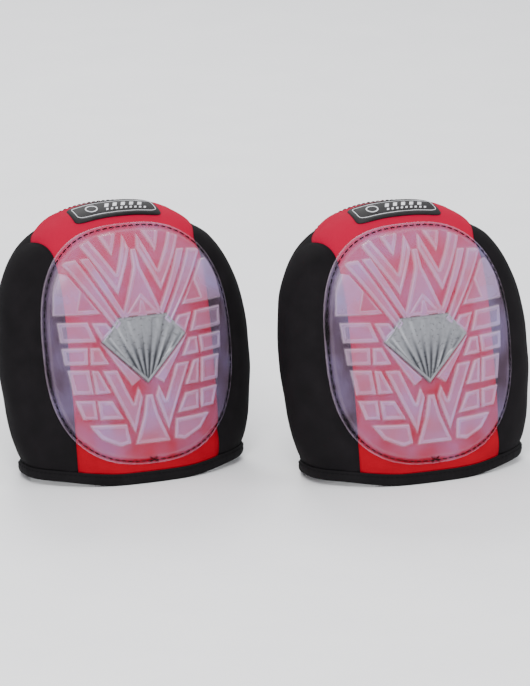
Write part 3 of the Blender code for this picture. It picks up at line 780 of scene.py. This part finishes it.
def gel_cap(pad):
    x, z = superellipse_grid(*CAP_HALF, CAP_POWER, 281, 301)
    z = z + CAP_Z
    face = front_point(x, z)
    inward = -cap_distance(x, z)
    height, tread = cap_height(x, z)
    base = valley(-inward) + 0.05 * MM
    # painted highlight: shine on the ribs' slopes and rim along the cap's lip become the edge attribute,
    # which paints the gel lighter there
    slope = np.hypot(*np.gradient(height)) / MM
    shine = np.clip(slope / 0.8, 0, 1) * 0.55
    rim = np.exp(-((inward - 0.3 * MM) / (0.8 * MM)) ** 2)
    thin = 0.35 * smooth((FLANGE_WIDTH - inward) / (1.5 * MM))
    # painted reflection of the sky: the gel is made cloudier, and so lighter, towards the cap's top
    painted_sky_reflection = 0.3 * smooth((z - 135 * MM) / (60 * MM))
    lift = tread * (1 - 0.5 * painted_sky_reflection) + painted_sky_reflection - thin
    shape = block(raised(face, base + height), raised(face, base))
    cap = pad.add("gel_cap", shape, "cap_gel", lift=lift, edge=np.maximum(shine, rim))
    cap.data.materials.append(MATERIALS["cap_back"])
    count = (x.shape[0] - 1) * (x.shape[1] - 1)
    index = np.zeros(len(cap.data.polygons), dtype=np.int32)
    index[count:2 * count] = 1
    cap.data.polygons.foreach_set("material_index", index)
    thin_back(cap, *x.shape)


def thin_back(cap, rows, cols, step=4):
    """Merges the hidden back's small cells into larger ones, and leaves its border alone."""
    bm = bmesh.new()
    bm.from_mesh(cap.data)
    spare = []
    for edge in bm.edges:
        a, b = (vert.index - rows * cols for vert in edge.verts)
        if a < 0 or b < 0:
            continue
        (row_a, col_a), (row_b, col_b) = divmod(a, cols), divmod(b, cols)
        if (row_a == row_b and row_a % step) or (col_a == col_b and col_a % step):
            spare.append(edge)
    bmesh.ops.dissolve_edges(bm, edges=spare, use_verts=True)
    bm.to_mesh(cap.data)
    bm.free()


def cap_stitching(pad):
    """The sewn line inside the cap's edge, with a cross where it starts and stops."""
    turn = np.linspace(0, 2 * math.pi, 700) - math.pi / 2
    x, z = superellipse_line(CAP_HALF[0] - STITCH_INSET, CAP_HALF[1] - STITCH_INSET, CAP_POWER, turn)
    z = z + CAP_Z
    face = front_point(x, z)
    top = valley(cap_distance(x, z)) + FLANGE + 0.1 * MM
    sewn = stitches(raised(face, top), normal(face), 4.2 * MM, 1.5 * MM, 0.5 * MM)
    cross = []
    for reach in (-3.4 * MM, 3.4 * MM):
        across = np.linspace(-reach, reach, 8)
        up = CAP_Z - CAP_HALF[1] + np.linspace(1.2, 5.4, 8) * MM
        cross.append(tube(raised(front_point(across, up), FLANGE + 0.1 * MM), 0.42 * MM, 6))
    pad.sew("cap_stitching", joined([sewn] + cross))


TIP, WIDEST, TOP = 80, 116, 134                    # the emblem's heights, in mm
HALF_WIDEST, HALF_TOP = 37, 21
EMBLEM = ((HALF_WIDEST, WIDEST), (HALF_TOP, TOP), (-HALF_TOP, TOP), (-HALF_WIDEST, WIDEST), (0, TIP))


def cap_emblem(pad):
    """A plain fluted plate let into the tread."""
    up = np.concatenate([np.linspace(TIP + 0.4, WIDEST, 72), np.linspace(WIDEST, TOP, 37)[1:]])
    half = np.interp(up, (TIP, WIDEST, TOP), (0, HALF_WIDEST, HALF_TOP))
    x = np.linspace(-1, 1, 121)[None, :] * half[:, None]
    z = np.repeat(up[:, None], 121, 1)
    depth = edge_distance(x, z, EMBLEM)
    fan = np.arctan2(x, z - 74) / 0.18
    flute = 0.5 + 0.5 * np.cos(fan * 2 * math.pi)
    panel = smooth((depth - 2.2) / 0.8)
    top = 1.9 * smooth((depth + 0.2) / 1.2) - panel * (0.3 + 1.1 * flute)
    face = front_point(x * MM, z * MM)
    base = CAP_BODY + 0.02 * MM
    shape = block(raised(face, base + (top + 0.1) * MM), raised(face, base - 0.4 * MM))
    dark = panel * (1 - flute) ** 1.5 * smooth((124 - z) / 26)
    pad.add("cap_emblem", shape, "emblem", streak=dark)


# ---- label ----
LABEL_CENTRE_Y = 72 * MM
LABEL_HALF = (38 * MM, 12.5 * MM)
LABEL_POWER = 8
LABEL_BASE = 0.35 * MM


def top_point(x, y):
    """The outer face's highest point over a place on the label, from the label's middle."""
    below = np.stack([x, y + LABEL_CENTRE_Y, np.full(x.shape, 130 * MM)], -1)
    return cast(below, np.array([0, 0, 1.0]), 130 * MM)


def label_top(x, y):
    """Height of the label's face above the panel."""
    size = superellipse_size(x / LABEL_HALF[0], y / LABEL_HALF[1], LABEL_POWER)
    inward = np.minimum((1 - size) * LABEL_HALF[1], LABEL_HALF[0])
    rim = np.exp(-((inward - 1.3 * MM) / (0.9 * MM)) ** 2)
    return 1.5 * MM * smooth((inward + 0.4 * MM) / (0.9 * MM)) + 0.55 * MM * rim


def top_label(pad):
    x, y = superellipse_grid(*LABEL_HALF, LABEL_POWER, 171, 71)
    pad.add("top_label", block(on_label(x, y), raised(top_point(x, y), 0.1 * MM)), "label_rubber")
    pad.add("label_print", joined(label_marks()), "print", stands_for=False)


def on_label(x, y, lift=0.0):
    return raised(top_point(x, y), label_top(x, y) + LABEL_BASE + lift)


def label_marks():
    """A thin outline, a ring and two rows of slanted bars, which stand for a maker's print."""
    turn = np.linspace(0, 2 * math.pi, 241)[:-1]
    x, y = superellipse_line(LABEL_HALF[0] - 4.0 * MM, LABEL_HALF[1] - 3.6 * MM, LABEL_POWER, turn)
    marks = [tube(on_label(x, y), 0.3 * MM, 6, closed=True)]
    x, y = superellipse_line(4.6 * MM, 4.6 * MM, 2, turn)
    marks.append(tube(on_label(x - 19.5 * MM, y), 0.55 * MM, 6, closed=True))
    s, t = np.meshgrid(np.linspace(-1, 1, 5), np.linspace(-1, 1, 9))
    rows = [(1.75, 3.0, 2.0, 7.2, 5), (0.95, 1.2, -4.4, 4.1, 9)]
    for half_x, half_y, middle, pitch, count in rows:
        for k in range(count):
            bx = (s * half_x + t * half_y * 0.5 + (k - (count - 1) / 2) * pitch + 9.0) * MM
            by = (t * half_y + middle) * MM
            marks.append(block(on_label(bx, by, 0.12 * MM), on_label(bx, by, -0.1 * MM)))
    return marks


# ---- bindings ----
TAPE_STITCH = (3.0 * MM, 1.2 * MM, 0.32 * MM)      # its length, gap and radius


def hem_binding(pad):
    """The doubled band along the bottom: flat underneath and rounded in front."""
    shell = pad.shell
    low = shell.points[0].copy()
    away = unit(shell.normals[0] * np.array([1, 1, 0]))
    rise = CORNER_RISE * corner_lift(low)
    steep = np.clip(shell.normals[0][:, 2], 0, 1)
    for edge, inner in ((0, 1), (-1, -2)):
        run = low[edge] - low[inner]
        low[edge] += run / np.linalg.norm(run) * 4.4 * MM
    inset = RIM_SHELL + LINING + 1.4 * MM
    share = np.linspace(0, 1, 9)
    run = along(low)
    pucker = 0.16 * MM * np.sin(run * 2 * math.pi / (5.2 * MM)) + 0.1 * MM * np.sin(run * 710)
    rings = []
    for p, n, base, tilt, tuck in zip(low, away, rise, steep, pucker):
        head = p[2] + 0.5 * MM
        bulge_out = (1.25 * np.sin(np.pi * share) ** 0.55 - 0.45) * MM + tuck * np.sin(np.pi * share)
        section = [(b, base + (head - base) * s) for b, s in zip(bulge_out, share)]
        rear = head - tilt * inset - 0.3 * MM
        section += [(-1.2 * MM, head - 0.3 * MM), (-inset, rear), (-inset - 0.5 * MM, rear - 2 * MM),
                    (-inset - 0.4 * MM, base + 1.0 * MM), (-inset + 0.6 * MM, base)]
        rings.append([(p[0] + n[0] * out, p[1] + n[1] * out, z) for out, z in section])
    rings = np.array(rings)
    pad.add("hem_binding", sweep(rings), "binding", uv=strip_uv(rings))
    line = low + away * (0.62 * MM + pucker[:, None]) - np.array([0, 0, 1.6 * MM])
    pad.sew("hem_stitching", stitches(line[2:-2], away[2:-2], *TAPE_STITCH))


def strip_uv(rings):
    """UVs in metres: along the run and around the section."""
    run = along(rings.mean(1))
    around = np.linalg.norm(np.diff(rings, axis=1), axis=2).mean(0)
    across = np.concatenate([[0], np.cumsum(around)])
    return np.stack(np.meshgrid(across, run), -1).reshape(-1, 2)


def rim_places(shell):
    """The shell's rear edge: its places and the way out past them."""
    p, n = shell.points, shell.normals
    spots = np.concatenate([p[:-1, 0], p[-1], p[-2::-1, -1]])
    away = np.concatenate([n[:-1, 0], n[-1], n[-2::-1, -1]])
    inner = np.concatenate([p[:-1, 1], p[-2], p[-2::-1, -2]])
    index = np.arange(len(spots))
    ahead = spots[np.minimum(index + 3, index[-1])] - spots[np.maximum(index - 3, 0)]
    out = unit(np.cross(unit(ahead), away))
    out *= np.sign((out * (spots - inner)).sum(1))[:, None]
    return spots, out


def rim_binding(pad):
    """Tape folded over the layers' ends, from the outer face round to the lining."""
    spots, out = rim_places(pad.shell)
    section = ((0.1, -6.2), (0.55, -5.6), (0.8, -3.0), (0.85, 0.0), (0.5, 2.2), (-1.0, 3.8), (-3.0, 4.4),
               (-5.0, 3.9), (-6.7, 2.2), (-7.4, 0.0), (-7.4, -3.0), (-7.2, -5.6), (-6.8, -6.2),
               (-6.3, -5.6), (-6.3, 0.2), (-3.0, 0.6), (-0.2, 0.2), (-0.2, -5.6))
    run = along(spots)
    tuck = 1 + 0.12 * np.sin(run * 2 * math.pi / (5.5 * MM)) + 0.06 * np.sin(run * 900)
    rings = []
    for high, wide in section:
        back = settle(spots + out * min(wide, 0) * MM)
        beyond = out * (max(wide, 0) * MM * tuck)[:, None]
        stand = high * tuck if high > 0.3 or high < -7 else np.full(len(spots), high)
        rings.append(raised(back, stand * MM) + beyond)
    rings = np.array(rings).transpose(1, 0, 2)
    pad.add("rim_binding", sweep(rings), "binding", uv=strip_uv(rings))
    line = settle(spots - out * 4.6 * MM)[3:-3]
    pad.sew("rim_stitching", stitches(raised(line, 0.75 * MM), normal(line), *TAPE_STITCH))


# ---- strap hardware ----
STRAPS = {"lower": 46 * MM, "upper": 122 * MM}
STRAP_WIDTH, STRAP_BEHIND, STRAP_END = 34 * MM, 15 * MM, 10 * MM
STRAP_HALF = 3.5 * math.sin(math.pi / 12) * MM
RING_INBOARD, RING_SIZE, BAR_RADIUS = 13 * MM, (14 * MM, 39 * MM), 1.6 * MM
TAB_WIDTH, TAB_THICK = 26 * MM, 1.4 * MM
HOOK_LENGTH, HOOK_THICK = 30 * MM, 1.4 * MM


def strap_layout(height):
    """Where one strap's pieces lie, on the +X side of the pad."""
    z = STRAPS[height]
    rim = row_curve(z, 0.0)[-1]
    inner_bar = rim[0] - RING_INBOARD
    return {"z": z, "rim_x": rim[0], "y": rim[1] + STRAP_BEHIND, "inner_bar": inner_bar,
            "outer_bar": inner_bar - RING_SIZE[0]}


def sewn_start(z):
    """Where a tab leaves the rim's binding at one height, and its next point straight back."""
    rim = row_curve(z, 0.0)[-1]
    return [(rim[0] - 5.5 * MM, rim[1] + 3.6 * MM), (rim[0] - 6.0 * MM, rim[1] + 5.4 * MM)]


def rounded_path(points, spacing=1.2 * MM, turns=3):
    """A flat path with its corners cut smooth and evenly spaced points."""
    path = np.asarray(points, dtype=float)
    for _ in range(turns):
        a, b = path[:-1], path[1:]
        middle = np.stack([a * 0.75 + b * 0.25, a * 0.25 + b * 0.75], 1).reshape(-1, 2)
        path = np.concatenate([path[:1], middle[1:-1], path[-1:]])
    arc = along(path)
    at = np.linspace(0, arc[-1], max(int(arc[-1] / spacing), 2) + 1)
    return values_at(at, arc, path)


def band(path, thick, z, width, closed=False):
    """Webbing whose middle line follows a flat path, with soft edges; and its UVs."""
    if closed:
        ahead = np.roll(path, -1, 0) - np.roll(path, 1, 0)
    else:
        ahead = np.gradient(path, axis=0)
    ahead = unit(ahead)
    side = np.stack([-ahead[:, 1], ahead[:, 0]], -1)
    half, edge = width / 2, thick / 2
    section = [(1, s) for s in np.linspace(-1, 1, 13)] + [(0.4, 1.012), (-0.4, 1.012)]
    section += [(-1, s) for s in np.linspace(1, -1, 13)] + [(-0.4, -1.012), (0.4, -1.012)]
    out, up = np.array(section).T
    out = out * edge * np.where(abs(up) == 1, 0.82, 1.0)
    flat = path[:, None] + side[:, None] * out[:, None]
    high = np.broadcast_to(z + up * half * 0.988, flat.shape[:2])
    rings = np.concatenate([flat, high[..., None]], -1)
    return sweep(rings, closed), strip_uv(rings)


def arc_path(centre, radius, start, end, count):
    turn = np.radians(np.linspace(start, end, count))
    return np.stack([centre[0] + radius * np.cos(turn), centre[1] + radius * np.sin(turn)], -1)


def bar_loop(centre, z, width):
    """A closed turn of webbing about a bar."""
    turn = arc_path(centre, 2.72 * MM, 0, 360, 33)[:-1]
    return band(turn, 1.45 * MM, z, width, closed=True)


def with_uv(parts):
    """Several (shape, uv) parts as one shape and its UVs."""
    return joined([shape for shape, _ in parts]), np.concatenate([uv for _, uv in parts])


def flipped(shape, side):
    verts, faces = shape
    return np.asarray(verts) * np.array([side, 1, 1]), faces


def box_stitches(centre, size, y, face):
    """A sewn rectangle with a cross in it, on an upright plane."""
    (cx, cz), (w, h) = centre, (size[0] / 2, size[1] / 2)
    corners = [(cx - w, cz - h), (cx + w, cz - h), (cx + w, cz + h), (cx - w, cz + h)]
    runs = list(zip(corners, corners[1:] + corners[:1]))
    runs += [(corners[0], corners[2]), (corners[1], corners[3])]
    parts = []
    for a, b in runs:
        line = np.array([(a[0], y, a[1]), (b[0], y, b[1])])
        parts.append(stitches(line, np.array([[0, face, 0]] * 2), 2.2 * MM, 0.8 * MM, 0.28 * MM))
    return joined(parts)


def ring_tab(pad, height, place):
    bar = (place["inner_bar"], place["y"])
    z = place["z"]
    start = (bar[0] + 2.3 * MM, bar[1] - 2.6 * MM)
    path = rounded_path([start, (bar[0] + 4.4 * MM, bar[1] - 5.0 * MM)] + sewn_start(z)[::-1])
    shape, uv = with_uv([bar_loop(bar, z, TAB_WIDTH), band(path, TAB_THICK, z, TAB_WIDTH)])
    pad.add(f"{height}_ring_tab", flipped(shape, pad.side), "webbing", uv=uv)


def loop_tab(pad, height, place):
    y = place["y"] - STRAP_HALF - 2 * GAP - HOOK_THICK - TAB_THICK / 2
    bend, end, z = place["rim_x"] - 11 * MM, place["rim_x"] - 44 * MM, place["z"]
    path = rounded_path(sewn_start(z) + [(bend + 3 * MM, y - 1.2 * MM), (bend, y), (end, y)], turns=2)
    width = STRAP_WIDTH - 4 * MM
    shape, uv = band(path, TAB_THICK, z, width)
    pad.add(f"{height}_loop_tab", flipped(shape, -pad.side), "loop_tape", uv=uv)
    sewn = box_stitches((bend - 5 * MM, z), (7 * MM, width - 5 * MM), y - TAB_THICK / 2 + 0.1 * MM, -1)
    pad.sew(f"{height}_tab_stitching", flipped(sewn, -pad.side))


def strap_ring(pad, height, place):
    half_x, half_z = RING_SIZE[0] / 2, RING_SIZE[1] / 2
    centre = (place["inner_bar"] + place["outer_bar"]) / 2
    corner = 2.6 * MM
    bends = []
    for cx, cz, start in ((1, 1, 0), (-1, 1, 90), (-1, -1, 180), (1, -1, 270)):
        middle = (centre + cx * (half_x - corner), place["z"] + cz * (half_z - corner))
        bends.append(arc_path(middle, corner, start, start + 90, 9))
    path = np.insert(np.concatenate(bends), 1, place["y"], axis=1)
    shape = tube(path, BAR_RADIUS, 14, closed=True)
    pad.add(f"{height}_strap_ring", flipped(shape, pad.side), "plastic")


def strap(pad, height, place):
    """The elastic: looped on the ring, doubled as far as the adjuster, single to its tip."""
    bar, z, y = (place["outer_bar"], place["y"]), place["z"], place["y"]
    end = -place["rim_x"] + STRAP_END
    wide = STRAP_WIDTH - 0.8 * MM
    parts = [bar_loop(bar, z, wide)]
    for face, ends in ((1, ((-46 * MM, 0.45), (end - bar[0], 0.3))), (-1, ((-62 * MM, 0.45),))):
        run = ((-1.4 * MM, 2.1), (-7 * MM, 0.45), (-9 * MM, 0.45)) + ends
        path = rounded_path([(bar[0] + dx, y + face * dy * MM) for dx, dy in run], 2.5 * MM)
        parts.append(band(path, 0.82 * MM, z, wide))
    shape, uv = with_uv(parts)
    body = f"{height}_strap"
    pad.add(f"{height}_strap", flipped(shape, pad.side), "elastic", body=body, uv=uv)
    tip = box_stitches((end + 15 * MM, z), (26 * MM, STRAP_WIDTH - 8 * MM), y + 0.72 * MM, 1)
    pad.sew(f"{height}_strap_stitching", flipped(tip, pad.side), body)


def hook_patch(pad, height, place):
    """Hook tape: a backing with rows of small bent hooks that face the loop tab."""
    x = -place["rim_x"] + STRAP_END + 2 * MM + HOOK_LENGTH / 2
    y = place["y"] - STRAP_HALF - 0.1 * MM
    wide, tall = HOOK_LENGTH, STRAP_WIDTH - 4 * MM
    backing = np.array([(x - wide / 2, y), (x, y), (x + wide / 2, y)]) - np.array([0, 0.25 * MM])
    shape, _ = band(rounded_path(backing), 0.6 * MM, place["z"], tall)
    parts = [shape]
    for i, px in enumerate(np.linspace(x - wide / 2 + 1.2 * MM, x + wide / 2 - 1.2 * MM, 20)):
        lean = 1 if i % 2 else -1
        for pz in np.linspace(place["z"] - tall / 2 + 1.2 * MM, place["z"] + tall / 2 - 1.2 * MM, 20):
            bend = [(px, y - 0.5 * MM, pz), (px + 0.1 * lean * MM, y - 1.05 * MM, pz),
                    (px + 0.35 * lean * MM, y - 1.3 * MM, pz), (px + 0.55 * lean * MM, y - 1.1 * MM, pz)]
            parts.append(tube(bend, 0.13 * MM, 4))
    shape = flipped(joined(parts), pad.side)
    pad.add(f"{height}_hook_patch", shape, "hook_tape", body=f"{height}_strap")


def adjuster(pad, height):
    """The three-bar slide, with the frame's own shape and rounded edges."""
    bm = bmesh.new()
    bm.from_mesh(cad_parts[f"{pad.name}_{height}_adjuster"].data)
    bmesh.ops.remove_doubles(bm, verts=bm.verts, dist=0.01 * MM)
    bmesh.ops.dissolve_limit(bm, angle_limit=0.02, verts=bm.verts, edges=bm.edges)
    sharp = [e for e in bm.edges if len(e.link_faces) == 2 and e.calc_face_angle() > 0.5]
    bmesh.ops.bevel(bm, geom=sharp, offset=0.7 * MM, segments=3, profile=0.6, affect="EDGES",
                    clamp_overlap=True)
    bm.verts.index_update()
    verts = [np.array(vert.co) - pad.offset for vert in bm.verts]
    faces = [[vert.index for vert in face.verts] for face in bm.faces]
    bm.free()
    pad.add(f"{height}_adjuster", (verts, faces), "plastic", body=f"{height}_slide")


def build_pad(name, shell):
    pad = Pad(name, shell)
    for make in (panels, padding, lining, gel_cap, cap_stitching, cap_emblem, top_label, hem_binding,
                 rim_binding):
        make(pad)
    for height in STRAPS:
        place = strap_layout(height)
        for make in (ring_tab, loop_tab, strap_ring, strap, hook_patch):
            make(pad, height, place)
        adjuster(pad, height)


# ---- stage ----
def area_light(name, place, aim, size, power, colour=(1, 1, 1)):
    data = bpy.data.lights.new(name, "AREA")
    data.shape = "DISK"
    data.size = size
    data.energy = power
    data.color = colour
    lamp = bpy.data.objects.new(name, data)
    lamp.location = place
    lamp.rotation_euler = (Vector(aim) - Vector(place)).to_track_quat("-Z", "Y").to_euler()
    bpy.context.collection.objects.link(lamp)


def stage():
    mat, tree, shader = nodes_of("pale_floor", (0.86, 0.86, 0.87), 0.6)
    speck = noise(tree, 14.0, 4.0)
    tint = mixed(tree, ranged(tree, speck, 0.3, 0.7), (0.90, 0.90, 0.905), (0.93, 0.93, 0.93))
    feed(shader, "Base Color", tint)
    corners = [(-20, -20, 0), (20, -20, 0), (20, 20, 0), (-20, 20, 0)]
    floor = new_mesh("floor", corners, [(0, 1, 2, 3)])
    floor.data.materials.append(mat)
    floor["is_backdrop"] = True
    world = bpy.data.worlds.new("soft_room")
    world.use_nodes = True
    back = world.node_tree.nodes["Background"]
    back.inputs["Color"].default_value = (0.95, 0.96, 1.0, 1)
    back.inputs["Strength"].default_value = 1.15
    bpy.context.scene.world = world
    area_light("key", (-0.9, -1.5, 1.7), (0, 0, 0.1), 0.9, 44)
    area_light("fill", (1.8, -1.2, 1.0), (0, 0, 0.1), 1.2, 13)
    area_light("rim", (0.3, 1.6, 1.5), (0, 0, 0.15), 0.8, 22)


def camera():
    data = bpy.data.cameras.new("view")
    data.lens = 399
    data.sensor_width = 36
    data.clip_start = 0.1
    data.clip_end = 100
    eye = bpy.data.objects.new("view", data)
    turn, rise, away = math.radians(-24.0), math.radians(15.5), 6.2
    back = Vector((math.sin(turn) * math.cos(rise), -math.cos(turn) * math.cos(rise), math.sin(rise)))
    low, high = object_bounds()
    aim = (low + high) / 2 - Vector((0, 0, 5 * MM))
    eye.location = aim + back * away
    eye.rotation_euler = (-back).to_track_quat("-Z", "Y").to_euler()
    bpy.context.collection.objects.link(eye)
    bpy.context.scene.camera = eye


SHELL_FORM = Shell()
for pad_name in SIDES:
    build_pad(pad_name, SHELL_FORM)
stage()
camera()
